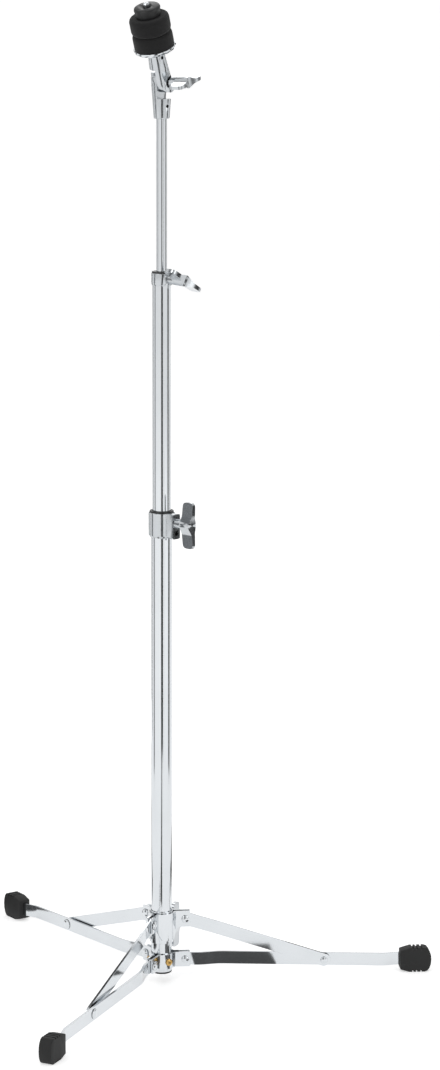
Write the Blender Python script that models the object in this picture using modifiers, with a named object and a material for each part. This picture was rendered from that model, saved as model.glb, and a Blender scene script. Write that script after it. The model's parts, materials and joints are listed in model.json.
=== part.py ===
"""A folding cymbal stand with three flat strap legs, a sliding collar and a tilter.

Metres, +Z up. The origin is on the floor under the axis of the tubes, and the
first leg points along +X. Everything is built for that leg, or in a frame of its
own, and then copied or turned into place.
"""
import math

import bmesh
import bpy
from mathutils import Matrix, Vector

# Clearance between pieces that touch, and the clearance of a shank in its hole
GAP = 0.0003

# Tubes: outer radii and walls
LOWER_TUBE_R = 0.0127
MIDDLE_TUBE_R = 0.0111
UPPER_ROD_R = 0.00635
TUBE_WALL = 0.0012
LOWER_TUBE_Z = 0.013
LOWER_TUBE_TOP = 0.588
MIDDLE_TUBE_LENGTH = 0.500
MIDDLE_TUBE_TOP = 0.876
UPPER_ROD_LENGTH = 0.353

# Straps of the legs and braces, and the joints that carry them
LEGS = 3
STRAP_HEIGHT = 0.016
STRAP_THICKNESS = 0.003
PIVOT_R = 0.0287
LEG_PIVOT_Z = 0.0269
BRACE_PIVOT_Z = 0.0786
LEG_SLOPE = math.radians(2.3)
RIVET_R = 0.2018
LEG_OFFSET = 0.007
FOOT_OFFSET = 0.0123
BRACE_OFFSET = 0.002
JOGGLE_START = 0.013
JOGGLE_END = 0.048
BRACE_JOGGLE_END = 0.038
FOOT_JOGGLE_LENGTH = 0.025
PIVOT_SHANK_R = 0.003

# Pressed plates of the two hubs
PLATE_THICKNESS = 0.0025
LUG_R = 0.035
BEND_R = 0.0035
LOWER_LUG_HEIGHT = 0.0190
UPPER_LUG_HEIGHT = 0.0200
SLEEVE_WALL = 0.0015
SLEEVE_Z = 0.050
SLEEVE_TOP = 0.0905
TONGUE_Z = 0.0545
TONGUE_HALF_WIDTH = 0.0085
LOCK_Z = 0.0605
HUB_SCREW_Z = 0.0265
HUB_SCREW_R = 0.0025

# Rubber feet
FOOT_START = 0.298
FOOT_LENGTH = 0.039
FOOT_WIDTH = 0.016
FOOT_HEIGHT = 0.031
FOOT_NECK_HEIGHT = 0.024
FOOT_TAPER = 0.012
FOOT_DOME = 0.008
FOOT_GRIP = 0.0302
GROOVES = (0.0160, 0.0207, 0.0263)
GROOVE_WIDTH = 0.0022
GROOVE_DEPTH = 0.0022

# Height clamps on the two tubes
BOSS_AZIMUTH = math.radians(-49.0)
CLAMP_R = 0.0158
CLAMP_Z = 0.558
CLAMP_TOP = 0.5884
CLAMP_BOSS_R = 0.025
CLAMP_BOSS_WIDTH = 0.012
CLAMP_SCREW_Z = 0.5775
CLAMP_SET_SCREW_Z = 0.5650
CLAMP_SET_SCREW_R = 0.0031
MOUTH_RING_HEIGHT = 0.0016
COLLAR_R = 0.0124
COLLAR_Z = 0.862
COLLAR_TOP = 0.877
COLLAR_BOSS_R = 0.0145
COLLAR_BOSS_RADIUS = 0.0062
COLLAR_SCREW_Z = 0.8705
BUSHING_DEPTH = 0.034

# Wing screw
WING_SHANK_R = 0.004
WING_HUB_LENGTH = 0.0255
WING_HUB_BASE_R = 0.0059
WING_HUB_R = 0.0072
WING_SPAN = 0.056
WING_START = 0.011
WING_END = 0.029
WING_HALF_THICKNESS = 0.0026
WING_ROOT_HALF_THICKNESS = 0.0068
WING_BLEND = 0.013

# Tilter: the pivot, its direction and the tilt of the cymbal rod
TILTER_Z = 1.1018
TILTER_AZIMUTH = math.radians(-32.0)
TILT = math.radians(23.0)
CASTING_EAR_R = 0.0122
CASTING_SHOULDER_R = 0.011
CASTING_END_R = 0.0095
CASTING_SHOULDER = 0.0195
BASE_SOCKET_LENGTH = 0.0235
TOP_SOCKET_LENGTH = 0.0210
SPOT_FACE_R = 0.0078
SPOT_FACE = 0.0083
WASHER_R = 0.0065
WASHER_THICKNESS = 0.0015
SET_SCREW_R = 0.0018
BASE_SET_SCREW = 0.0280
TOP_SET_SCREW = 0.0330
SET_SCREW_TURN = math.radians(21.0)

# Cymbal seat, measured along the cymbal rod from the pivot
CYMBAL_ROD_R = 0.004
CYMBAL_ROD_TIP = 0.1012
CUP_R = 0.0253
CUP_FLOOR_R = 0.0215
CUP_HEIGHT = 0.0055
CUP_WALL = 0.0015
SLEEVE_FLANGE_R = 0.016
SLEEVE_FLANGE = 0.0016
CYMBAL_SLEEVE_WALL = 0.0013
FELT_R = 0.0237
FELT_THICKNESS = 0.0200
FELT_ROUND = 0.004
NUT_R = 0.0157
NUT_HEIGHT = 0.0117

LARGE_STEPS = 24
SMALL_STEPS = 14
HOLE_STEPS = 10

CHROME = ("chrome", (0.80, 0.81, 0.82, 1.0), 0.08, 1.0)
ZINC = ("cast_chrome", (0.74, 0.75, 0.76, 1.0), 0.16, 1.0)
BRASS = ("brass", (0.72, 0.58, 0.30, 1.0), 0.25, 1.0)
BLACK_STEEL = ("black_steel", (0.02, 0.02, 0.02, 1.0), 0.40, 1.0)
RUBBER = ("rubber", (0.012, 0.014, 0.014, 1.0), 0.75, 0.0)
PLASTIC = ("black_plastic", (0.015, 0.017, 0.018, 1.0), 0.45, 0.0)
FELT = ("felt", (0.012, 0.012, 0.013, 1.0), 0.95, 0.0)


def clear_scene():
    for old in list(bpy.data.objects):
        bpy.data.objects.remove(old, do_unlink=True)


def collection(name):
    group = bpy.data.collections.new(name)
    bpy.context.scene.collection.children.link(group)
    return group


def finish_material(name, finish):
    look, colour, roughness, metallic = finish
    material = bpy.data.materials.new(f"{name}_{look}")
    material.use_nodes = True
    shader = material.node_tree.nodes["Principled BSDF"]
    shader.inputs["Base Color"].default_value = colour
    shader.inputs["Roughness"].default_value = roughness
    shader.inputs["Metallic"].default_value = metallic
    material.diffuse_color = colour
    return material


def blank(name, mesh):
    """A working object in the cutters' collection, drawn as a wire."""
    piece = bpy.data.objects.new(name, mesh)
    CUTTERS.objects.link(piece)
    piece.hide_render = True
    piece.display_type = "WIRE"
    return piece


def turned(profile, steps=SMALL_STEPS, closed=False):
    """A profile of (radius, height), from its outer top down, turned about Z."""
    mesh = bpy.data.meshes.new("profile")
    count = len(profile)
    edges = [(i, i + 1) for i in range(count - 1)]
    if closed:
        edges.append((count - 1, 0))
    mesh.from_pydata([(r, 0.0, z) for r, z in profile], edges, [])
    piece = blank("turned", mesh)
    screw = piece.modifiers.new("turn", "SCREW")
    screw.steps = steps
    screw.render_steps = steps
    screw.use_merge_vertices = True
    screw.merge_threshold = 0.00001
    return piece


def ring(inner, outer, bottom, top, steps=LARGE_STEPS):
    profile = [(outer, top), (outer, bottom), (inner, bottom), (inner, top)]
    return turned(profile, steps, closed=True)


def rod(radius, bottom, top, steps=SMALL_STEPS):
    return turned([(0.0, top), (radius, top), (radius, bottom), (0.0, bottom)], steps)


def prism(outline, bottom, top):
    """A flat outline in X and Y, raised from bottom to top."""
    curve = bpy.data.curves.new("outline", "CURVE")
    curve.dimensions = "2D"
    curve.fill_mode = "BOTH"
    curve.extrude = (top - bottom) / 2
    spline = curve.splines.new("POLY")
    spline.points.add(len(outline) - 1)
    for point, (x, y) in zip(spline.points, outline):
        point.co = (x, y, 0.0, 1.0)
    spline.use_cyclic_u = True
    source = bpy.data.objects.new("outline", curve)
    CUTTERS.objects.link(source)
    bpy.context.view_layer.update()
    graph = bpy.context.evaluated_depsgraph_get()
    mesh = bpy.data.meshes.new_from_object(source.evaluated_get(graph))
    work = bmesh.new()
    work.from_mesh(mesh)
    bmesh.ops.remove_doubles(work, verts=work.verts, dist=0.000001)
    bmesh.ops.translate(work, verts=work.verts, vec=(0, 0, (top + bottom) / 2))
    bmesh.ops.recalc_face_normals(work, faces=work.faces)
    work.to_mesh(mesh)
    work.free()
    bpy.data.objects.remove(source, do_unlink=True)
    bpy.data.curves.remove(curve)
    return blank("prism", mesh)


def box(low, high):
    work = bmesh.new()
    bmesh.ops.create_cube(work, size=1.0)
    low, high = Vector(low), Vector(high)
    size = high - low
    bmesh.ops.scale(work, verts=work.verts, vec=size)
    bmesh.ops.translate(work, verts=work.verts, vec=(low + high) / 2)
    mesh = bpy.data.meshes.new("box")
    work.to_mesh(mesh)
    work.free()
    return blank("box", mesh)


def sheet(path, bottom, top, thickness):
    """A strip that stands on a path in X and Y, given its thickness."""
    count = len(path)
    verts = [(x, y, z) for z in (bottom, top) for x, y in path]
    faces = [(i, i + 1, count + i + 1, count + i) for i in range(count - 1)]
    mesh = bpy.data.meshes.new("sheet")
    mesh.from_pydata(verts, [], faces)
    piece = blank("sheet", mesh)
    wall = piece.modifiers.new("thickness", "SOLIDIFY")
    wall.thickness = thickness
    wall.offset = 0.0
    wall.use_even_offset = True
    return piece


def moved(piece, matrix):
    piece.matrix_world = matrix @ piece.matrix_world
    return piece


def along(direction, origin=(0, 0, 0)):
    """The frame at origin whose Z points along direction."""
    turn = Vector(direction).to_track_quat("Z", "Y").to_matrix().to_4x4()
    return Matrix.Translation(origin) @ turn


def toward(azimuth):
    return Vector((math.cos(azimuth), math.sin(azimuth), 0.0))


def radial(azimuth, height):
    """The frame on the tubes' axis whose Z points outward and whose Y is up."""
    out = toward(azimuth)
    up = Vector((0.0, 0.0, 1.0))
    side = up.cross(out)
    turn = Matrix((side, up, out)).transposed().to_4x4()
    return Matrix.Translation((0, 0, height)) @ turn


def combine(piece, tool, operation):
    change = piece.modifiers.new(operation.lower(), "BOOLEAN")
    change.operation = operation
    change.object = tool
    return piece


def cut(piece, *tools):
    for tool in tools:
        combine(piece, tool, "DIFFERENCE")
    return piece


def join(piece, *tools):
    for tool in tools:
        combine(piece, tool, "UNION")
    return piece


def keep(piece, *tools):
    for tool in tools:
        combine(piece, tool, "INTERSECT")
    return piece


def solid(piece):
    """The finished mesh of a blank, in world space, with its tools cleared."""
    bpy.context.view_layer.update()
    graph = bpy.context.evaluated_depsgraph_get()
    mesh = bpy.data.meshes.new_from_object(piece.evaluated_get(graph))
    mesh.transform(piece.matrix_world)
    for used in list(CUTTERS.objects):
        bpy.data.objects.remove(used, do_unlink=True)
    mesh.shade_smooth()
    mesh.set_sharp_from_angle(angle=math.radians(32))
    return mesh


def part(name, mesh, finish, origin=(0, 0, 0), azimuth=0.0, own_frame=False):
    """A sub-part, its origin at the given point, turned about the tubes' axis."""
    if not own_frame:
        mesh = mesh.copy()
        mesh.transform(Matrix.Translation(-Vector(origin)))
    piece = bpy.data.objects.new(name, mesh)
    PARTS.objects.link(piece)
    mesh.materials.clear()
    mesh.materials.append(finish_material(name, finish))
    place = Matrix.Translation(Vector(origin))
    piece.matrix_world = Matrix.Rotation(azimuth, 4, "Z") @ place
    return piece


def rounded(corners, radius, steps=3):
    """A closed outline with each corner rounded, given as (x, y) or (x, y, radius)."""
    points = []
    count = len(corners)
    for index, corner in enumerate(corners):
        here = Vector(corner[:2])
        before = Vector(corners[index - 1][:2]) - here
        after = Vector(corners[(index + 1) % count][:2]) - here
        size = corner[2] if len(corner) > 2 else radius
        if size == 0:
            points.append(tuple(here))
            continue
        half = before.angle(after) / 2
        reach = size / math.tan(half)
        centre = here + (before.normalized() + after.normalized()).normalized() * size / math.sin(half)
        start = here + before.normalized() * reach - centre
        finish = here + after.normalized() * reach - centre
        sweep = start.angle_signed(finish)
        for step in range(steps + 1):
            turn = Matrix.Rotation(-sweep * step / steps, 2)
            points.append(tuple(centre + turn @ start))
    return points


def joggle(x0, x1, y0, y1, steps=5):
    """A smooth sideways step of a strap."""
    return [
        (x0 + (x1 - x0) * i / steps, y0 + (y1 - y0) * (1 - math.cos(math.pi * i / steps)) / 2)
        for i in range(steps + 1)
    ]


def azimuths():
    return [2 * math.pi * index / LEGS for index in range(LEGS)]


def across(x, z):
    """The frame at (x, z) whose Z points sideways, counter-clockwise from the leg."""
    return along((0, 1, 0), (x, 0, z))


def leg_drop():
    return math.tan(LEG_SLOPE) * (RIVET_R - PIVOT_R)


def leg_frame():
    turn = Matrix.Rotation(LEG_SLOPE, 4, "Y")
    return Matrix.Translation((PIVOT_R, 0, LEG_PIVOT_Z)) @ turn


def brace_angle():
    rivet_z = LEG_PIVOT_Z - leg_drop()
    return math.atan2(BRACE_PIVOT_Z - rivet_z, RIVET_R - PIVOT_R)


def brace_length():
    return (RIVET_R - PIVOT_R) / math.cos(brace_angle())


def brace_frame():
    turn = Matrix.Rotation(brace_angle(), 4, "Y")
    return Matrix.Translation((PIVOT_R, 0, BRACE_PIVOT_Z)) @ turn


def strap(path, frame, length, holes, end_round):
    """A strap on edge with a round inner end, and pivot holes along its length."""
    half = STRAP_HEIGHT / 2
    piece = moved(sheet(path, -half, half, STRAP_THICKNESS), frame)
    ends = [(-half, -half, half * 0.98), (length, -half, end_round)]
    ends += [(length, half, end_round), (-half, half, half * 0.98)]
    side = prism(rounded(ends, 0, steps=5), -0.05, 0.05)
    keep(piece, moved(side, frame @ Matrix.Rotation(math.pi / 2, 4, "X")))
    for x in holes:
        hole = rod(PIVOT_SHANK_R + GAP, -0.03, 0.03, HOLE_STEPS)
        cut(piece, moved(hole, frame @ along((0, 1, 0), (x, 0, 0))))
    return solid(piece)


def legs():
    rivet = (RIVET_R - PIVOT_R) / math.cos(LEG_SLOPE)
    end = FOOT_START - PIVOT_R + FOOT_GRIP
    bend = FOOT_START - PIVOT_R - FOOT_JOGGLE_LENGTH
    path = [(-STRAP_HEIGHT, 0.0)]
    path += joggle(JOGGLE_START, JOGGLE_END, 0.0, LEG_OFFSET)
    path += joggle(bend, bend + FOOT_JOGGLE_LENGTH, LEG_OFFSET, FOOT_OFFSET)
    path += [(end + STRAP_HEIGHT, FOOT_OFFSET)]
    mesh = strap(path, leg_frame(), end, (0.0, rivet), 0.001)
    pivot = (PIVOT_R, 0, LEG_PIVOT_Z)
    for index, azimuth in enumerate(azimuths()):
        part(f"leg_{index + 1}", mesh, CHROME, pivot, azimuth)


def braces():
    length = brace_length()
    half = STRAP_HEIGHT / 2
    path = [(-STRAP_HEIGHT, 0.0)]
    path += joggle(JOGGLE_START, BRACE_JOGGLE_END, 0.0, BRACE_OFFSET, 4)
    path += [(length + STRAP_HEIGHT, BRACE_OFFSET)]
    mesh = strap(path, brace_frame(), length + half, (0.0, length), half * 0.98)
    pivot = (PIVOT_R, 0, BRACE_PIVOT_Z)
    for index, azimuth in enumerate(azimuths()):
        part(f"brace_{index + 1}", mesh, CHROME, pivot, azimuth)


def feet():
    """Rubber feet: tapered neck, flat land, grip grooves and a domed end."""
    middle = FOOT_HEIGHT / 2
    neck = FOOT_NECK_HEIGHT / 2
    straight = FOOT_LENGTH - FOOT_DOME
    outline = [(0.0, middle - neck), (FOOT_TAPER, 0.0)]
    for step in range(9):
        angle = -math.pi / 2 + math.pi * step / 8
        outline.append((straight + FOOT_DOME * math.cos(angle), middle + middle * math.sin(angle)))
    outline += [(FOOT_TAPER, FOOT_HEIGHT), (0.0, middle + neck)]
    foot = prism(outline, -FOOT_WIDTH / 2, FOOT_WIDTH / 2)
    edges = foot.modifiers.new("edges", "BEVEL")
    edges.width = 0.0014
    edges.segments = 2
    edges.limit_method = "ANGLE"
    edges.angle_limit = math.radians(50)
    place = Matrix.Translation((FOOT_START, FOOT_OFFSET, 0)) @ Matrix.Rotation(math.pi / 2, 4, "X")
    moved(foot, place)
    for x in GROOVES:
        centre = FOOT_START + x
        low = (centre - GROOVE_WIDTH / 2, -0.02, -0.02)
        cut(foot, box(low, (centre + GROOVE_WIDTH / 2, 0.04, GROOVE_DEPTH)))
        low = (centre - GROOVE_WIDTH / 2, -0.02, FOOT_HEIGHT - GROOVE_DEPTH)
        cut(foot, box(low, (centre + GROOVE_WIDTH / 2, 0.04, 0.06)))
    start = FOOT_START - PIVOT_R
    side = STRAP_THICKNESS / 2 + GAP
    half = STRAP_HEIGHT / 2 + GAP
    slot_end = start + FOOT_GRIP + GAP
    slot = box((start - 0.01, FOOT_OFFSET - side, -half), (slot_end, FOOT_OFFSET + side, half))
    cut(foot, moved(slot, leg_frame()))
    mesh = solid(foot)
    for index, azimuth in enumerate(azimuths()):
        part(f"foot_{index + 1}", mesh, RUBBER, (FOOT_START, FOOT_OFFSET, 0), azimuth)


def leg_joints():
    """Spacer and the two halves of the rivet that joins each leg to its brace."""
    rivet_z = LEG_PIVOT_Z - leg_drop()
    brace_face = BRACE_OFFSET + STRAP_THICKNESS / 2
    brace_back = BRACE_OFFSET - STRAP_THICKNESS / 2
    leg_face = LEG_OFFSET - STRAP_THICKNESS / 2
    leg_back = LEG_OFFSET + STRAP_THICKNESS / 2
    inner = brace_face + GAP
    head = leg_back + GAP
    shank = PIVOT_SHANK_R
    place = across(RIVET_R, rivet_z)
    origin = (RIVET_R, 0, rivet_z)
    spacer = solid(moved(ring(shank + GAP, 0.006, inner, leg_face - GAP, SMALL_STEPS), place))
    profile = [(0, head + 0.0016), (0.0045, head + 0.0014), (0.0062, head + 0.0008), (0.0065, head)]
    profile += [(shank, head), (shank, inner), (0, inner)]
    big = solid(moved(turned(profile), place))
    foot_face = brace_back - GAP
    profile = [(0, brace_face), (shank, brace_face), (shank, foot_face), (0.0045, foot_face)]
    profile += [(0.0043, foot_face - 0.0009), (0.0028, foot_face - 0.0017), (0, foot_face - 0.002)]
    small = solid(moved(turned(profile), place))
    for index, azimuth in enumerate(azimuths()):
        part(f"brace_spacer_{index + 1}", spacer, ZINC, origin, azimuth)
        part(f"leg_rivet_{index + 1}", big, CHROME, origin, azimuth)
        part(f"brace_rivet_{index + 1}", small, CHROME, origin, azimuth)


def plate_half_width():
    return STRAP_THICKNESS / 2 + GAP + PLATE_THICKNESS


def pivot_rivets(name, height):
    """Three rivets, each through a pair of ears and the strap between them."""
    ear = plate_half_width() + GAP
    shank = PIVOT_SHANK_R
    profile = [(0, ear + 0.0024), (0.0035, ear + 0.0022), (0.0055, ear + 0.0014), (0.006, ear)]
    profile += [(shank, ear), (shank, -ear), (0.0047, -ear)]
    profile += [(0.0045, -ear - 0.0012), (0.003, -ear - 0.0022), (0, -ear - 0.0025)]
    mesh = solid(moved(turned(profile), across(PIVOT_R, height)))
    for index, azimuth in enumerate(azimuths()):
        part(f"{name}_{index + 1}", mesh, CHROME, (PIVOT_R, 0, height), azimuth)


def plate_path(core):
    """Half of a hub plate seen from above: along an ear, round a bend and the tube."""
    side = plate_half_width() - PLATE_THICKNESS / 2
    around = core + GAP + PLATE_THICKNESS / 2
    bend_y = side + BEND_R
    bend_x = math.sqrt((around + BEND_R) ** 2 - bend_y ** 2)
    meet = math.atan2(bend_y, bend_x)
    points = [(LUG_R, side)]
    for step in range(4):
        angle = -math.pi / 2 - (math.pi / 2 - meet) * step / 3
        points.append((bend_x + BEND_R * math.cos(angle), bend_y + BEND_R * math.sin(angle)))
    centre = math.pi / LEGS
    for step in range(1, 5):
        angle = meet + (centre - meet) * step / 4
        points.append((around * math.cos(angle), around * math.sin(angle)))
    return points


def hub_plate(core, outline, pivot_z, screw_z, screw_r):
    """A pressed plate between the first leg and the next, cut to its outline."""
    half = plate_path(core)
    centre = math.pi / LEGS
    mirror = Matrix.Rotation(centre, 2) @ Matrix(((1, 0), (0, -1))) @ Matrix.Rotation(-centre, 2)
    path = half + [tuple(mirror @ Vector(point)) for point in reversed(half[:-1])]
    heights = [point[1] for point in outline]
    piece = sheet(path, min(heights) - 0.005, max(heights) + 0.005, PLATE_THICKNESS)
    face = prism(outline, -0.01, 0.06)
    keep(piece, moved(face, radial(centre, 0.0)))
    for azimuth in (0.0, 2 * math.pi / LEGS):
        turn = Matrix.Rotation(azimuth, 4, "Z")
        hole = rod(PIVOT_SHANK_R + GAP, -0.008, 0.008, HOLE_STEPS)
        cut(piece, moved(hole, turn @ across(PIVOT_R, pivot_z)))
    if screw_r:
        cut(piece, moved(rod(screw_r + GAP, 0.005, 0.03, HOLE_STEPS), radial(centre, screw_z)))
    return solid(piece)


def lug_reach():
    """Half the width of a plate seen square on, between its ears' outer corners."""
    centre = math.pi / LEGS
    return LUG_R * math.sin(centre) - (plate_half_width() - PLATE_THICKNESS) * math.cos(centre)


def lower_hub():
    reach = lug_reach()
    low = LEG_PIVOT_Z - LOWER_LUG_HEIGHT / 2
    high = LEG_PIVOT_Z + LOWER_LUG_HEIGHT / 2
    outline = rounded([(-reach, low), (reach, low), (reach, high), (-reach, high)], 0.0025)
    mesh = hub_plate(LOWER_TUBE_R, outline, LEG_PIVOT_Z, HUB_SCREW_Z, HUB_SCREW_R)
    for index, azimuth in enumerate(azimuths()):
        part(f"lower_hub_plate_{index + 1}", mesh, CHROME, (0, 0, 0), azimuth)
    seat = LOWER_TUBE_R + GAP + PLATE_THICKNESS + GAP
    profile = [(0, seat + 0.0024), (0.003, seat + 0.0022), (0.0044, seat + 0.0014), (0.0047, seat)]
    profile += [(HUB_SCREW_R, seat), (HUB_SCREW_R, 0.006), (0, 0.006)]
    screw = solid(moved(turned(profile), radial(math.pi / LEGS, HUB_SCREW_Z)))
    for index, azimuth in enumerate(azimuths()):
        part(f"hub_screw_{index + 1}", screw, BRASS, (0, 0, HUB_SCREW_Z), azimuth)
    pivot_rivets("leg_pivot_rivet", LEG_PIVOT_Z)


def hub_screw_holes(piece):
    for azimuth in azimuths():
        hole = rod(HUB_SCREW_R + GAP, 0.0057, 0.03, HOLE_STEPS)
        cut(piece, moved(hole, radial(azimuth + math.pi / LEGS, HUB_SCREW_Z)))
    return piece


def lower_tube():
    inner = LOWER_TUBE_R - TUBE_WALL
    tube = ring(inner, LOWER_TUBE_R, LOWER_TUBE_Z, LOWER_TUBE_TOP)
    hub_screw_holes(tube)
    hole = rod(WING_SHANK_R + GAP, 0.008, 0.02, HOLE_STEPS)
    cut(tube, moved(hole, radial(BOSS_AZIMUTH, CLAMP_SCREW_Z)))
    part("lower_tube", solid(tube), CHROME)
    body = inner - GAP
    bottom = LOWER_TUBE_Z - GAP
    profile = [(0, LOWER_TUBE_Z + 0.018), (body - 0.0008, LOWER_TUBE_Z + 0.018)]
    profile += [(body, LOWER_TUBE_Z + 0.017), (body, bottom), (LOWER_TUBE_R, bottom)]
    profile += [(LOWER_TUBE_R, bottom - 0.0012), (LOWER_TUBE_R - 0.001, bottom - 0.002), (0, bottom - 0.002)]
    part("tube_end_plug", solid(hub_screw_holes(turned(profile, LARGE_STEPS))), PLASTIC)


def sleeve_r():
    return LOWER_TUBE_R + GAP + SLEEVE_WALL


def sliding_collar():
    """Sleeve, three plates with ears and a tongue, and the screw that locks them."""
    pivot = (0, 0, BRACE_PIVOT_Z)
    sleeve = ring(LOWER_TUBE_R + GAP, sleeve_r(), SLEEVE_Z, SLEEVE_TOP)
    lock = radial(math.pi / LEGS, LOCK_Z)
    cut(sleeve, moved(rod(WING_SHANK_R + GAP, 0.008, 0.03, HOLE_STEPS), lock))
    part("collar_sleeve", solid(sleeve), CHROME, pivot)
    reach = lug_reach()
    low = BRACE_PIVOT_Z - UPPER_LUG_HEIGHT / 2
    high = BRACE_PIVOT_Z + UPPER_LUG_HEIGHT / 2
    inner = TONGUE_HALF_WIDTH * 1.8
    corners = [(-reach, low), (-inner, low), (-TONGUE_HALF_WIDTH, TONGUE_Z)]
    corners += [(TONGUE_HALF_WIDTH, TONGUE_Z), (inner, low), (reach, low)]
    corners += [(reach, high), (-reach, high)]
    outline = rounded(corners, 0.0025)
    locked = hub_plate(sleeve_r(), outline, BRACE_PIVOT_Z, LOCK_Z, WING_SHANK_R)
    plain = hub_plate(sleeve_r(), outline, BRACE_PIVOT_Z, LOCK_Z, 0)
    for index, azimuth in enumerate(azimuths()):
        mesh = locked if index == 0 else plain
        part(f"upper_hub_plate_{index + 1}", mesh, CHROME, pivot, azimuth)
    pivot_rivets("brace_pivot_rivet", BRACE_PIVOT_Z)


def wing_screw(name, frame, base, tip, turn):
    """A cast wing screw: flared hub, two blended wings and a plain shank."""
    shank = WING_SHANK_R
    length = WING_HUB_LENGTH
    profile = [(0, length), (0.0040, length - 0.0002), (0.0064, length - 0.0014)]
    profile += [(WING_HUB_R, length - 0.0042), (0.0066, 0.010), (0.0061, 0.004), (WING_HUB_BASE_R, 0)]
    profile += [(shank, 0), (shank, tip - base + 0.0008), (shank - 0.0008, tip - base), (0, tip - base)]
    piece = turned(profile)
    half = WING_SPAN / 2
    rise = WING_ROOT_HALF_THICKNESS - WING_HALF_THICKNESS
    edge = []
    for step in range(-5, 6):
        x = WING_BLEND * step / 5
        edge.append((x, WING_HALF_THICKNESS + rise * (1 + math.cos(math.pi * step / 5)) / 2))
    end = [(half + 0.002, WING_HALF_THICKNESS - 0.0006), (half + 0.002, -WING_HALF_THICKNESS + 0.0006)]
    outline = edge + end + [(x, -y) for x, y in reversed(edge)]
    outline += [(-x, -y) for x, y in end]
    wings = prism(outline, WING_START - 0.002, WING_END + 0.002)
    low, high = WING_START, WING_END
    corners = [(-half, low + 0.0015, 0.005), (-half, high, 0.0045), (-WING_BLEND, high - 0.0008, 0.006)]
    corners += [(0, high - 0.0042, 0.012), (WING_BLEND, high - 0.0008, 0.006), (half, high, 0.0045)]
    corners += [(half, low + 0.0015, 0.005), (0.008, low, 0.002), (-0.008, low, 0.002)]
    side = prism(rounded(corners, 0.004, 3), -0.02, 0.02)
    keep(wings, moved(side, Matrix.Rotation(math.pi / 2, 4, "X")))
    join(piece, wings)
    mesh = solid(piece)
    mesh.transform(Matrix.Translation((0, 0, base)) @ Matrix.Rotation(turn, 4, "Z"))
    screw = part(name, mesh, ZINC, own_frame=True)
    screw.matrix_world = frame
    return screw


def wing_screws():
    quarter = math.pi / 2
    lock = radial(math.pi / LEGS, LOCK_Z)
    seat = sleeve_r() + GAP + PLATE_THICKNESS + GAP
    wing_screw("base_lock_screw", lock, seat, LOWER_TUBE_R + GAP, quarter)
    clamp = radial(BOSS_AZIMUTH, CLAMP_SCREW_Z)
    wing_screw("clamp_wing_screw", clamp, CLAMP_BOSS_R + GAP, MIDDLE_TUBE_R + GAP, quarter)
    collar = radial(BOSS_AZIMUTH, COLLAR_SCREW_Z)
    tilt = math.radians(-30)
    wing_screw("height_wing_screw", collar, COLLAR_BOSS_R + GAP, UPPER_ROD_R + GAP, tilt)
    pivot = radial(TILTER_AZIMUTH, TILTER_Z)
    seat = SPOT_FACE + WASHER_THICKNESS + 2 * GAP
    wing_screw("tilter_wing_screw", pivot, seat, -0.0075, math.radians(10))


def set_screw(name, frame, inner, outer, radius):
    """A recessed grub screw with a hexagon socket in its outer end."""
    piece = rod(radius, inner, outer, HOLE_STEPS)
    bottom = outer - radius
    socket = rod(radius * 0.5, bottom, outer + 0.001, 6)
    cut(piece, socket)
    mesh = solid(piece)
    screw = part(name, mesh, BLACK_STEEL, own_frame=True)
    screw.matrix_world = frame
    return screw


def height_clamp():
    """Clamp on the lower tube: a band with a square boss for its wing screw."""
    inner = LOWER_TUBE_R + GAP
    profile = [(CLAMP_R - 0.0006, CLAMP_TOP), (CLAMP_R, CLAMP_TOP - 0.0006), (CLAMP_R, CLAMP_Z + 0.0025)]
    profile += [(CLAMP_R - 0.0018, CLAMP_Z), (inner, CLAMP_Z), (inner, CLAMP_TOP)]
    body = turned(profile, LARGE_STEPS, closed=True)
    half = CLAMP_BOSS_WIDTH / 2
    middle = (CLAMP_TOP + CLAMP_Z) / 2
    tall = (CLAMP_TOP - CLAMP_Z) / 2 - 0.0001
    corners = [(-half, -tall), (half, -tall), (half, tall), (-half, tall)]
    boss = prism(rounded(corners, 0.002, 3), 0.014, CLAMP_BOSS_R)
    join(body, moved(boss, radial(BOSS_AZIMUTH, middle)))
    cut(body, moved(rod(WING_SHANK_R + GAP, 0.008, 0.03, HOLE_STEPS), radial(BOSS_AZIMUTH, CLAMP_SCREW_Z)))
    key = radial(BOSS_AZIMUTH, CLAMP_SET_SCREW_Z)
    cut(body, moved(rod(CLAMP_SET_SCREW_R + GAP, 0.008, 0.03, HOLE_STEPS), key))
    part("clamp_body", solid(body), ZINC)
    set_screw("clamp_set_screw", key, inner, CLAMP_BOSS_R - 0.003, CLAMP_SET_SCREW_R)
    bottom = CLAMP_TOP + GAP
    mouth = ring(MIDDLE_TUBE_R + GAP, CLAMP_R - 0.0012, bottom, bottom + MOUTH_RING_HEIGHT)
    part("clamp_bushing", solid(mouth), PLASTIC)


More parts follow.
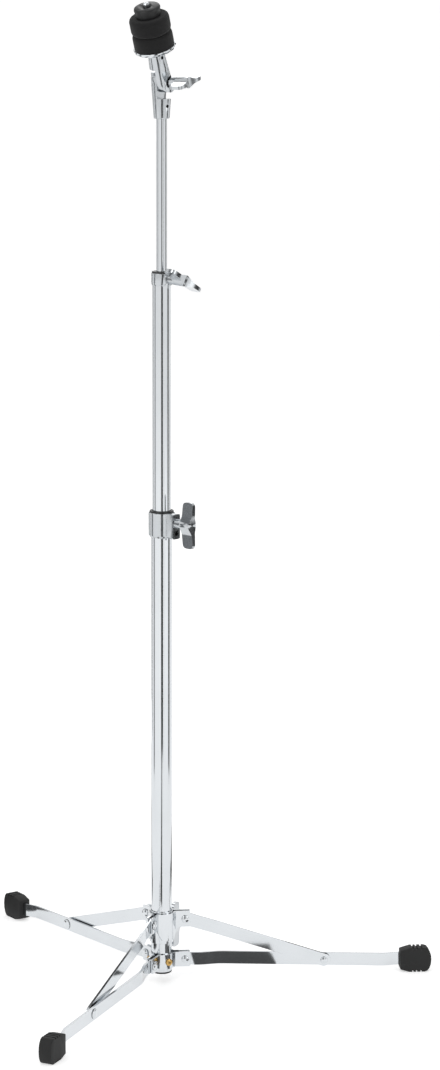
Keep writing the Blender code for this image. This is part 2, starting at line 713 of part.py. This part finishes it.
def middle_tube():
    inner = MIDDLE_TUBE_R - TUBE_WALL
    bottom = MIDDLE_TUBE_TOP - MIDDLE_TUBE_LENGTH
    screw = radial(BOSS_AZIMUTH, COLLAR_SCREW_Z)
    tube = ring(inner, MIDDLE_TUBE_R, bottom, MIDDLE_TUBE_TOP)
    cut(tube, moved(rod(WING_SHANK_R + GAP, 0.005, 0.02, HOLE_STEPS), screw))
    part("middle_tube", solid(tube), CHROME)
    guide_bore = 0.007
    profile = [(inner - GAP, bottom + 0.016), (inner - GAP, bottom - GAP)]
    profile += [(LOWER_TUBE_R - TUBE_WALL - GAP, bottom - GAP)]
    profile += [(LOWER_TUBE_R - TUBE_WALL - GAP, bottom - 0.0033), (guide_bore, bottom - 0.0033)]
    profile += [(guide_bore, bottom + 0.016)]
    part("middle_tube_guide", solid(turned(profile, LARGE_STEPS, closed=True)), PLASTIC)

    bore = MIDDLE_TUBE_R + GAP
    profile = [(COLLAR_R - 0.0006, COLLAR_TOP), (COLLAR_R, COLLAR_TOP - 0.0006), (COLLAR_R, COLLAR_Z + 0.0018)]
    profile += [(COLLAR_R - 0.0008, COLLAR_Z), (bore, COLLAR_Z), (bore, COLLAR_TOP)]
    collar = turned(profile, LARGE_STEPS, closed=True)
    join(collar, moved(rod(COLLAR_BOSS_RADIUS, 0.010, COLLAR_BOSS_R), screw))
    cut(collar, rod(bore, COLLAR_Z - 0.01, COLLAR_TOP + 0.01, LARGE_STEPS))
    cut(collar, moved(rod(WING_SHANK_R + GAP, 0.005, 0.02, HOLE_STEPS), screw))
    part("height_collar", solid(collar), ZINC)

    low = COLLAR_TOP + GAP
    rod_bore = UPPER_ROD_R + GAP
    profile = [(COLLAR_R - 0.0008, low + 0.0014), (COLLAR_R - 0.0005, low), (inner - GAP, low)]
    profile += [(inner - GAP, low - BUSHING_DEPTH), (rod_bore, low - BUSHING_DEPTH), (rod_bore, low + 0.0014)]
    bushing = turned(profile, LARGE_STEPS, closed=True)
    cut(bushing, moved(rod(WING_SHANK_R + GAP, 0.003, 0.02, HOLE_STEPS), screw))
    part("rod_bushing", solid(bushing), PLASTIC)


def socket_bottom():
    """How far from the pivot the bore of a tilter casting ends."""
    return CASTING_SHOULDER + 0.001


def upper_rod():
    top = TILTER_Z - socket_bottom() - GAP
    bottom = top - UPPER_ROD_LENGTH
    inner = UPPER_ROD_R - TUBE_WALL
    part("upper_rod", solid(ring(inner, UPPER_ROD_R, bottom, top, LARGE_STEPS)), CHROME)
    flange = MIDDLE_TUBE_R - TUBE_WALL - GAP
    profile = [(0, bottom + 0.014), (inner - GAP, bottom + 0.014), (inner - GAP, bottom - GAP)]
    profile += [(flange, bottom - GAP), (flange, bottom - 0.0033), (0, bottom - 0.0033)]
    part("rod_guide", solid(turned(profile, LARGE_STEPS)), PLASTIC)


def pivot_frame(tilt):
    """The frame at the tilter's pivot: X along the pivot, Z up the tilted rod."""
    turn = Matrix.Rotation(TILTER_AZIMUTH, 4, "Z") @ Matrix.Rotation(tilt, 4, "X")
    return Matrix.Translation((0, 0, TILTER_Z)) @ turn


def casting(length, bore, screw_z, screw_side):
    """Half of the tilter: a tapered socket above the pivot, halved to a round ear."""
    ear, end = CASTING_EAR_R, CASTING_SHOULDER + length
    profile = [(0, end), (CASTING_END_R - 0.0014, end), (CASTING_END_R - 0.0004, end - 0.0005)]
    profile += [(CASTING_END_R, end - 0.0016), (CASTING_SHOULDER_R, CASTING_SHOULDER)]
    drum = ear + 0.0004
    profile += [(drum, 0.0), (drum, -ear - 0.002), (0, -ear - 0.002)]
    body = turned(profile, LARGE_STEPS)
    wide = ear + 0.002
    outline = [(wide, end + 0.01), (-wide, end + 0.01), (-wide, ear * 0.6)]
    for step in range(17):
        angle = math.pi + math.pi * step / 16
        outline.append((ear * math.cos(angle), ear * math.sin(angle)))
    outline.append((wide, ear * 0.6))
    side = prism(outline, -0.03, 0.03)
    upright = Matrix(((0, 0, 1, 0), (1, 0, 0, 0), (0, 1, 0, 0), (0, 0, 0, 1)))
    keep(body, moved(side, upright))
    cut(body, box((-0.03, -0.03, -0.03), (GAP / 2, 0.03, CASTING_SHOULDER)))
    sideways = along((1, 0, 0))
    cut(body, moved(rod(SPOT_FACE_R, SPOT_FACE, 0.03), sideways))
    cut(body, moved(rod(WING_SHANK_R + GAP, -0.03, 0.03, HOLE_STEPS), sideways))
    cut(body, rod(bore + GAP, socket_bottom(), end + 0.01))
    out = Vector((screw_side * math.cos(SET_SCREW_TURN), -math.sin(SET_SCREW_TURN), 0))
    cut(body, moved(rod(SET_SCREW_R + GAP, 0.0, 0.03, HOLE_STEPS), along(out, (0, 0, screw_z))))
    return solid(body), along(out, (0, 0, screw_z))


def tilter():
    half_turn = Matrix.Rotation(math.pi, 4, "Y")
    lower = pivot_frame(0.0) @ half_turn
    mesh, grub = casting(BASE_SOCKET_LENGTH, UPPER_ROD_R, BASE_SET_SCREW, -1)
    base = part("tilter_base", mesh, ZINC, own_frame=True)
    base.matrix_world = lower
    set_screw("base_set_screw", lower @ grub, UPPER_ROD_R + GAP, 0.0088, SET_SCREW_R)

    upper = pivot_frame(TILT)
    mesh, grub = casting(TOP_SOCKET_LENGTH, CYMBAL_ROD_R, TOP_SET_SCREW, 1)
    top = part("tilter_top", mesh, ZINC, own_frame=True)
    top.matrix_world = upper
    set_screw("top_set_screw", upper @ grub, CYMBAL_ROD_R + GAP, 0.0086, SET_SCREW_R)

    low = SPOT_FACE + GAP
    washer = solid(ring(WING_SHANK_R + GAP, WASHER_R, low, low + WASHER_THICKNESS, SMALL_STEPS))
    piece = part("tilter_washer", washer, BLACK_STEEL, own_frame=True)
    piece.matrix_world = pivot_frame(0.0) @ along((1, 0, 0))


def felt(name, bottom, frame):
    """A felt disc with a hole for the sleeve and soft round edges."""
    hole = CYMBAL_ROD_R + GAP + CYMBAL_SLEEVE_WALL + GAP
    top = bottom + FELT_THICKNESS
    corner = FELT_ROUND
    profile = []
    for step in range(5):
        angle = math.pi / 2 * (1 - step / 4)
        profile.append((FELT_R - corner + corner * math.cos(angle), top - corner + corner * math.sin(angle)))
    for step in range(5):
        angle = -math.pi / 2 * step / 4
        profile.append((FELT_R - corner + corner * math.cos(angle), bottom + corner + corner * math.sin(angle)))
    profile += [(hole, bottom), (hole, top)]
    disc = part(name, solid(turned(profile, LARGE_STEPS, closed=True)), FELT, own_frame=True)
    disc.matrix_world = frame


def cymbal_seat():
    """Everything that is threaded on the tilted cymbal rod, from the dish up."""
    frame = pivot_frame(TILT)
    seat = CASTING_SHOULDER + TOP_SOCKET_LENGTH + GAP
    start = socket_bottom() + GAP
    tip = CYMBAL_ROD_TIP
    profile = [(0, tip), (CYMBAL_ROD_R - 0.0012, tip), (CYMBAL_ROD_R, tip - 0.0012), (CYMBAL_ROD_R, start), (0, start)]
    piece = part("cymbal_rod", solid(turned(profile)), CHROME, own_frame=True)
    piece.matrix_world = frame

    rim, floor = seat + CUP_HEIGHT, seat + CUP_WALL
    hole = CYMBAL_ROD_R + GAP
    profile = [(CUP_R - 0.0003, rim), (CUP_R, rim - 0.0016), (CUP_R - 0.0011, seat + 0.0016), (CUP_FLOOR_R, seat)]
    profile += [(hole, seat), (hole, floor), (CUP_FLOOR_R - 0.0006, floor), (CUP_R - 0.0024, floor + 0.0014)]
    profile += [(CUP_R - CUP_WALL, rim - 0.0014), (CUP_R - CUP_WALL, rim)]
    piece = part("seat_cup", solid(turned(profile, closed=True)), CHROME, own_frame=True)
    piece.matrix_world = frame

    felt_start = floor + SLEEVE_FLANGE + 2 * GAP
    second = felt_start + FELT_THICKNESS + GAP
    nut = second + FELT_THICKNESS + GAP
    outer = hole + CYMBAL_SLEEVE_WALL
    low = floor + GAP
    profile = [(outer, nut - 0.001), (outer, low + SLEEVE_FLANGE), (SLEEVE_FLANGE_R, low + SLEEVE_FLANGE)]
    profile += [(SLEEVE_FLANGE_R, low), (hole, low), (hole, nut - 0.001)]
    piece = part("cymbal_sleeve", solid(turned(profile, closed=True)), PLASTIC, own_frame=True)
    piece.matrix_world = frame
    felt("lower_felt", felt_start, frame)
    felt("upper_felt", second, frame)

    top = nut + NUT_HEIGHT
    profile = [(NUT_R - 0.0022, top), (NUT_R - 0.0005, top - 0.0007), (NUT_R, top - 0.0022)]
    profile += [(NUT_R - 0.0002, top - 0.0042), (NUT_R - 0.0008, nut + 0.0045), (NUT_R - 0.0006, nut + 0.0012)]
    profile += [(NUT_R - 0.0010, nut), (hole, nut), (hole, top - 0.0012), (hole + 0.0022, top)]
    piece = part("top_nut", solid(turned(profile, LARGE_STEPS, closed=True)), PLASTIC, own_frame=True)
    piece.matrix_world = frame


clear_scene()
PARTS = collection("cymbal_stand")
CUTTERS = collection("cutters")
lower_tube()
lower_hub()
sliding_collar()
legs()
braces()
leg_joints()
feet()
height_clamp()
middle_tube()
upper_rod()
tilter()
cymbal_seat()
wing_screws()
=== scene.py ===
"""Looks of a folding cymbal stand: plated tubes and straps, cast fittings, rubber feet and pressed felts."""

import json
import logging
import math
from dataclasses import dataclass, field
from enum import Enum

import bpy
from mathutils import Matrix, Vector

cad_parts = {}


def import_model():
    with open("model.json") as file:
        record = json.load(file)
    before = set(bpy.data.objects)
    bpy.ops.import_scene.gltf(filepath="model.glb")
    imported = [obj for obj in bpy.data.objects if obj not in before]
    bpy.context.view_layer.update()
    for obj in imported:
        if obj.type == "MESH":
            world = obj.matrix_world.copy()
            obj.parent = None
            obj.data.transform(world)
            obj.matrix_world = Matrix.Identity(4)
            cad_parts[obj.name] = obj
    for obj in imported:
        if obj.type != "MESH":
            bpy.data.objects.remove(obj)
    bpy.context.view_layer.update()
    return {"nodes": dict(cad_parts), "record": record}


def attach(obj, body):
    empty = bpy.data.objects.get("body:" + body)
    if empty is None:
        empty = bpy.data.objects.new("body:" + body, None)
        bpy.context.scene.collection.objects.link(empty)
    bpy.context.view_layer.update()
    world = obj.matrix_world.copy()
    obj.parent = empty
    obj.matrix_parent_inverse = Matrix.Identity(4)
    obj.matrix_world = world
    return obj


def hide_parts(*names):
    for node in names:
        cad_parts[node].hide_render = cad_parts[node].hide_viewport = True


LOG = logging.getLogger("cymbal_stand")
MM = 0.001
SMOOTH_DEG = 40.0
EDGE_MM = {"felt": 1.6, "rubber": 0.8, "plastic": 0.4}
METAL_EDGE_MM = 0.25
# Slow drift of gloss and tint over a plated surface.
CLOUD_MM = 60.0
# Corners of neighbouring faces that are one corner, and faces that lie in one plane.
SAME_CORNER = 0.000002
SAME_PLANE_DEG = 0.2


def linear(hex_colour: str) -> tuple[float, float, float, float]:
    """Turn an sRGB hex colour into linear values.

    Args:
        hex_colour: six hex digits, such as "D9DCDE".

    Returns:
        Linear red, green, blue and an alpha of 1.
    """
    parts = [int(hex_colour[i : i + 2], 16) / 255 for i in (0, 2, 4)]
    red, green, blue = (c / 12.92 if c <= 0.04045 else ((c + 0.055) / 1.055) ** 2.4 for c in parts)
    return red, green, blue, 1.0


def add(
    tree: bpy.types.NodeTree, kind: str, values: dict, links: dict | None = None, **settings
) -> bpy.types.Node:
    """Add a node with its settings, socket values and incoming links.

    Args:
        tree: the node tree.
        kind: the node's type name.
        values: input socket name or number to its value.
        links: input socket name or number to the output that feeds it.
        settings: attributes of the node itself.

    Returns:
        The new node.
    """
    node = tree.nodes.new(kind)
    for name, value in settings.items():
        setattr(node, name, value)
    for socket, value in values.items():
        node.inputs[socket].default_value = value
    for socket, output in (links or {}).items():
        tree.links.new(output, node.inputs[socket])
    return node


def seen_directly(tree: bpy.types.NodeTree) -> bpy.types.NodeSocket:
    """Find whether the camera, a mirror or glass sees a surface.

    Args:
        tree: the material's or the world's node tree.

    Returns:
        An output that is 1 where one of them sees it, and 0 for other light.
    """
    ray = add(tree, "ShaderNodeLightPath", {}).outputs
    mirrored = add(
        tree, "ShaderNodeMath", {}, {0: ray["Is Camera Ray"], 1: ray["Is Glossy Ray"]}, operation="ADD"
    )
    return add(
        tree, "ShaderNodeMath", {}, {0: mirrored.outputs[0], 1: ray["Is Transmission Ray"]}, operation="ADD"
    ).outputs[0]


@dataclass(frozen=True)
class Finish:
    """A surface: its two colours, gloss and the size of its grain."""

    name: str
    colour: str
    worn: str
    metallic: float
    roughness: tuple[float, float]
    grain_mm: float
    relief_mm: float
    sheen: float = 0.0

    def make(self) -> bpy.types.Material:
        """Build the material, with colour, gloss and relief varied by noise at the grain's real size."""
        material = bpy.data.materials.new(self.name)
        material.use_nodes = True
        tree = material.node_tree
        shader = tree.nodes["Principled BSDF"]
        place = add(tree, "ShaderNodeTexCoord", {}).outputs["Object"]
        grain_size = {"Scale": 1 / (self.grain_mm * MM), "Detail": 3.0}
        grain = add(tree, "ShaderNodeTexNoise", grain_size, {"Vector": place})
        cloud_size = {"Scale": 1 / (CLOUD_MM * MM), "Detail": 4.0}
        cloud = add(tree, "ShaderNodeTexNoise", cloud_size, {"Vector": place})
        tint = add(
            tree,
            "ShaderNodeMix",
            {6: linear(self.colour), 7: linear(self.worn)},
            {0: (cloud if self.metallic else grain).outputs["Fac"]},
            data_type="RGBA",
        )
        gloss = add(
            tree,
            "ShaderNodeMapRange",
            {"To Min": self.roughness[0], "To Max": self.roughness[1]},
            {"Value": cloud.outputs["Fac"]},
        )
        relief = {"Strength": 1.0, "Distance": self.relief_mm * MM}
        bump = add(tree, "ShaderNodeBump", relief, {"Height": grain.outputs["Fac"]})
        shader.inputs["Metallic"].default_value = self.metallic
        shader.inputs["Sheen Weight"].default_value = self.sheen
        tree.links.new(tint.outputs[2], shader.inputs["Base Color"])
        tree.links.new(gloss.outputs["Result"], shader.inputs["Roughness"])
        tree.links.new(bump.outputs["Normal"], shader.inputs["Normal"])
        return material


class Surface(Enum):
    """The finishes of the stand, by the record's slot."""

    # Bright nickel-chrome over drawn steel: a mirror with a faint haze.
    chrome = Finish("nickel_chrome_plate", "D6D9DC", "CBCFD2", 1.0, (0.05, 0.12), 8, 0.003)
    # The same plate over zinc die castings: softer, with a slight ripple.
    cast_chrome = Finish("plated_zinc_casting", "C6C9CC", "B6BABD", 1.0, (0.10, 0.22), 3, 0.02)
    # Yellow plate on the hub's screws.
    brass = Finish("brass_plated_screw", "CBA763", "B8935A", 1.0, (0.15, 0.28), 2, 0.01)
    # Oxide-blackened socket screws: dark, with an oily gloss.
    black_steel = Finish("black_oxide_steel", "1C1C1D", "252526", 0.6, (0.35, 0.5), 1, 0.01)
    # Moulded rubber: matt, with a fine pebble from the mould.
    rubber = Finish("moulded_rubber", "0C0D0D", "131414", 0.0, (0.62, 0.78), 1.2, 0.04)
    # Moulded nylon bushings and the nut: a low satin.
    plastic = Finish("moulded_nylon", "0C0D0E", "131415", 0.0, (0.38, 0.52), 0.8, 0.02)
    # Pressed wool felt: no gloss, with fibres drawn coarse enough to show.
    felt = Finish("pressed_wool_felt", "0A0A0B", "161617", 0.0, (0.92, 0.98), 0.9, 0.35, 0.1)


@dataclass
class Section:
    """A sub-assembly of the stand and the beginnings of its nodes' names."""

    name: str
    starts: tuple[str, ...]

    def dress(
        self,
        nodes: dict,
        slots: dict[str, str],
        bodies: dict[str, str],
        finishes: dict[str, bpy.types.Material],
    ) -> int:
        """Give each node of this section a smooth shell with eased edges and its finish.

        Args:
            nodes: CAD node objects by name.
            slots: the record's slot of each node.
            bodies: the body that carries each node.
            finishes: materials by slot.

        Returns:
            How many nodes were dressed.
        """
        mine = [name for name in nodes if name.startswith(self.starts)]
        for name in mine:
            shell = self.shell(nodes[name], EDGE_MM.get(slots[name], METAL_EDGE_MM) * MM)
            shell.data.materials.clear()
            shell.data.materials.append(finishes[slots[name]])
            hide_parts(name)
            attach(shell, bodies[name])
        LOG.info("%s: %d pieces dressed", self.name, len(mine))
        return len(mine)

    def shell(self, node: bpy.types.Object, edge: float) -> bpy.types.Object:
        """Copy a node's solid, join its faces, smooth its round stretches and ease its edges.

        Args:
            node: the CAD node.
            edge: width of the eased edge, in metres.

        Returns:
            The shell, in the row frame.
        """
        shell = bpy.data.objects.new(f"{node.name}_shell", node.data.copy())
        bpy.context.collection.objects.link(shell)
        bpy.ops.object.select_all(action="DESELECT")
        shell.select_set(True)
        bpy.context.view_layer.objects.active = shell
        bpy.ops.object.mode_set(mode="EDIT")
        bpy.ops.mesh.select_all(action="SELECT")
        bpy.ops.mesh.remove_doubles(threshold=SAME_CORNER)
        bpy.ops.mesh.dissolve_limited(angle_limit=math.radians(SAME_PLANE_DEG))
        bpy.ops.object.mode_set(mode="OBJECT")
        bpy.ops.object.shade_smooth_by_angle(angle=math.radians(SMOOTH_DEG))
        bevel = shell.modifiers.new("eased_edges", "BEVEL")
        bevel.width, bevel.segments, bevel.limit_method = edge, 2, "ANGLE"
        bevel.angle_limit, bevel.harden_normals = math.radians(SMOOTH_DEG), True
        return shell


@dataclass
class Tripod(Section):
    """Hub plates, legs, braces, feet and the sliding collar."""

    name: str = "tripod"
    starts: tuple[str, ...] = (
        "leg_",
        "foot_",
        "brace_",
        "collar_",
        "upper_hub",
        "lower_hub",
        "hub_",
        "base_lock",
    )


@dataclass
class Column(Section):
    """The three tubes with their clamps, bushings and wing screws."""

    name: str = "column"
    starts: tuple[str, ...] = (
        "lower_tube",
        "tube_",
        "clamp_",
        "middle_",
        "height_",
        "rod_",
        "upper_rod",
    )


@dataclass
class TiltingHead(Section):
    """The tilter, the cymbal's rod, cup, felts and nut."""

    name: str = "tilting head"
    starts: tuple[str, ...] = (
        "tilter_",
        "base_set",
        "top_",
        "cymbal_",
        "seat_",
        "lower_felt",
        "upper_felt",
    )


@dataclass
class Studio:
    """A white room, soft lamps, a dark card for the metal to mirror, and the camera."""

    camera_at: tuple[float, float, float] = (-0.310, -4.025, 1.354)
    heading: tuple[float, float] = (0.0767, 0.997)
    pitch_deg: float = 11.13
    lens_mm: float = 114.95
    shift: float = 0.0548
    floor_size: float = 160.0
    floor_glow: float = 0.5
    room_light: float = 0.55
    lamps_aim: tuple[float, float, float] = (0.0, 0.0, 0.5)
    # The high card: its place, width and depth.
    high_card_at: tuple[float, float, float] = (0.2, -0.5, 2.3)
    high_card_size: tuple[float, float] = (1.3, 0.5)
    low_card_height: float = 0.0004
    # Each card: metres beyond the tubes as the camera looks, metres to its right, width, height, colour.
    cards: tuple[tuple[float, float, float, float, str], ...] = (
        (-1.1, 0.06, 0.34, 3.2, "101112"),
        (0.0, 1.0, 0.26, 3.2, "242526"),
        (0.0, -1.0, 0.26, 3.2, "85888B"),
        (1.3, -0.62, 0.36, 3.2, "151617"),
        (1.3, 0.62, 0.36, 3.2, "151617"),
        (0.75, 0.95, 0.16, 3.2, "3A3C3E"),
        (-0.85, 0.75, 0.09, 3.2, "3A3C3E"),
        (0.7, -1.0, 0.16, 3.2, "3A3C3E"),
    )
    # Each low card lies in front of a strap, which mirrors it: x, y, width, depth.
    low_cards: tuple[tuple[float, float, float, float], ...] = (
        (0.10, -0.075, 0.10, 0.10),
        (-0.17, -0.02, 0.07, 0.12),
        (-0.055, -0.73, 0.13, 0.8),
        (0.38, 0.62, 0.15, 0.9),
        (-0.28, 0.68, 0.15, 0.9),
    )
    lamps: list[tuple[str, tuple[float, float, float], float, float]] = field(
        default_factory=lambda: [
            ("key", (-2.6, -2.4, 3.2), 2.2, 34.0),
            ("fill", (2.8, -2.0, 2.2), 2.4, 20.0),
            ("back", (0.3, 3.0, 2.8), 2.0, 16.0),
        ]
    )

    def white(self, name: str, colour: str, glow: float) -> bpy.types.Material:
        """Make a pale stage material that glows a little for the camera and for mirrors.

        Args:
            name: the material's name.
            colour: its sRGB hex colour.
            glow: emission strength seen directly or mirrored.

        Returns:
            The material.
        """
        material = bpy.data.materials.new(name)
        material.use_nodes = True
        tree = material.node_tree
        shader = tree.nodes["Principled BSDF"]
        shader.inputs["Base Color"].default_value = linear(colour)
        shader.inputs["Roughness"].default_value = 0.9
        shader.inputs["Emission Color"].default_value = (1, 1, 1, 1)
        strength = add(tree, "ShaderNodeMath", {1: glow}, {0: seen_directly(tree)}, operation="MULTIPLY")
        tree.links.new(strength.outputs[0], shader.inputs["Emission Strength"])
        return material

    def sheet(self, name: str, size: tuple[float, float]) -> bpy.types.Object:
        """Make a stage plane of a given size in metres at the origin."""
        bpy.ops.object.select_all(action="DESELECT")
        bpy.ops.mesh.primitive_plane_add(size=1)
        plane = bpy.context.active_object
        plane.name = name
        plane.scale = (*size, 1)
        return plane

    def card(self, name: str, size: tuple[float, float], colour: str) -> bpy.types.Object:
        """Make a card that only the metal mirrors.

        Args:
            name: the card's name.
            size: its width and height in metres.
            colour: its sRGB hex colour.

        Returns:
            The card, at the origin.
        """
        card = self.sheet(name, size)
        paint = bpy.data.materials.new(f"{name}_paint")
        paint.use_nodes = True
        paint.node_tree.nodes["Principled BSDF"].inputs["Base Color"].default_value = linear(colour)
        card.data.materials.append(paint)
        card.visible_camera = card.visible_diffuse = card.visible_shadow = False
        return card

    def build(self) -> None:
        """Add the floor, card, lamps, world and camera."""
        floor = self.sheet("floor", (self.floor_size, self.floor_size))
        floor.data.materials.append(self.white("paper_floor", "F2F2F2", self.floor_glow))

        heading = Vector((*self.heading, 0)).normalized()
        right = Vector((heading.y, -heading.x, 0))
        for number, (beyond, aside, width, height, colour) in enumerate(self.cards, 1):
            card = self.card(f"card_{number}", (width, height), colour)
            card.location = heading * beyond + right * aside + Vector((0, 0, height / 2))
            card.rotation_euler = (math.pi / 2, 0, math.atan2(card.location.y, card.location.x) + math.pi / 2)
        # It hangs overhead, where the upper faces of the castings and the cup mirror it.
        self.card("high_card", self.high_card_size, "2A2C2E").location = self.high_card_at
        for number, (x, y, width, depth) in enumerate(self.low_cards, 1):
            self.card(f"low_card_{number}", (width, depth), "08090A").location = (x, y, self.low_card_height)

        for name, place, size, power in self.lamps:
            data = bpy.data.lights.new(name, "AREA")
            data.shape, data.size, data.energy = "DISK", size, power
            lamp = bpy.data.objects.new(name, data)
            lamp.location = place
            lamp.rotation_euler = (Vector(self.lamps_aim) - Vector(place)).to_track_quat("-Z", "Y").to_euler()
            bpy.context.collection.objects.link(lamp)

        world = bpy.data.worlds.new("white_room")
        bpy.context.scene.world = world
        world.use_nodes = True
        tree = world.node_tree
        levels = {"To Min": self.room_light, "To Max": 1.0}
        level = add(tree, "ShaderNodeMapRange", levels, {"Value": seen_directly(tree)})
        sky = tree.nodes["Background"]
        sky.inputs["Color"].default_value = (1, 1, 1, 1)
        tree.links.new(level.outputs["Result"], sky.inputs["Strength"])

        data = bpy.data.cameras.new("camera")
        data.lens, data.sensor_width, data.sensor_fit = self.lens_mm, 36, "AUTO"
        data.shift_x = self.shift
        data.clip_end = 400
        camera = bpy.data.objects.new("camera", data)
        camera.location = self.camera_at
        down = math.radians(self.pitch_deg)
        look = heading * math.cos(down) - Vector((0, 0, math.sin(down)))
        camera.rotation_euler = look.to_track_quat("-Z", "Y").to_euler()
        bpy.context.collection.objects.link(camera)
        bpy.context.scene.camera = camera
        bpy.context.scene.view_settings.view_transform = "Standard"


def main() -> None:
    """Load the frame, dress every section and build the studio."""
    logging.basicConfig(level=logging.INFO)
    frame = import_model()
    slots = {part["node"]: part["material_slot"] for part in frame["record"]["subparts"]}
    finishes = {surface.name: surface.value.make() for surface in Surface}
    bodies = {node: body for body, names in frame["record"]["behaviour"]["bodies"].items() for node in names}
    sections = (Tripod(), Column(), TiltingHead())
    dressed = sum(section.dress(frame["nodes"], slots, bodies, finishes) for section in sections)
    LOG.info("%d of %d nodes dressed", dressed, len(frame["nodes"]))
    Studio().build()


if __name__ == "__main__":
    main()
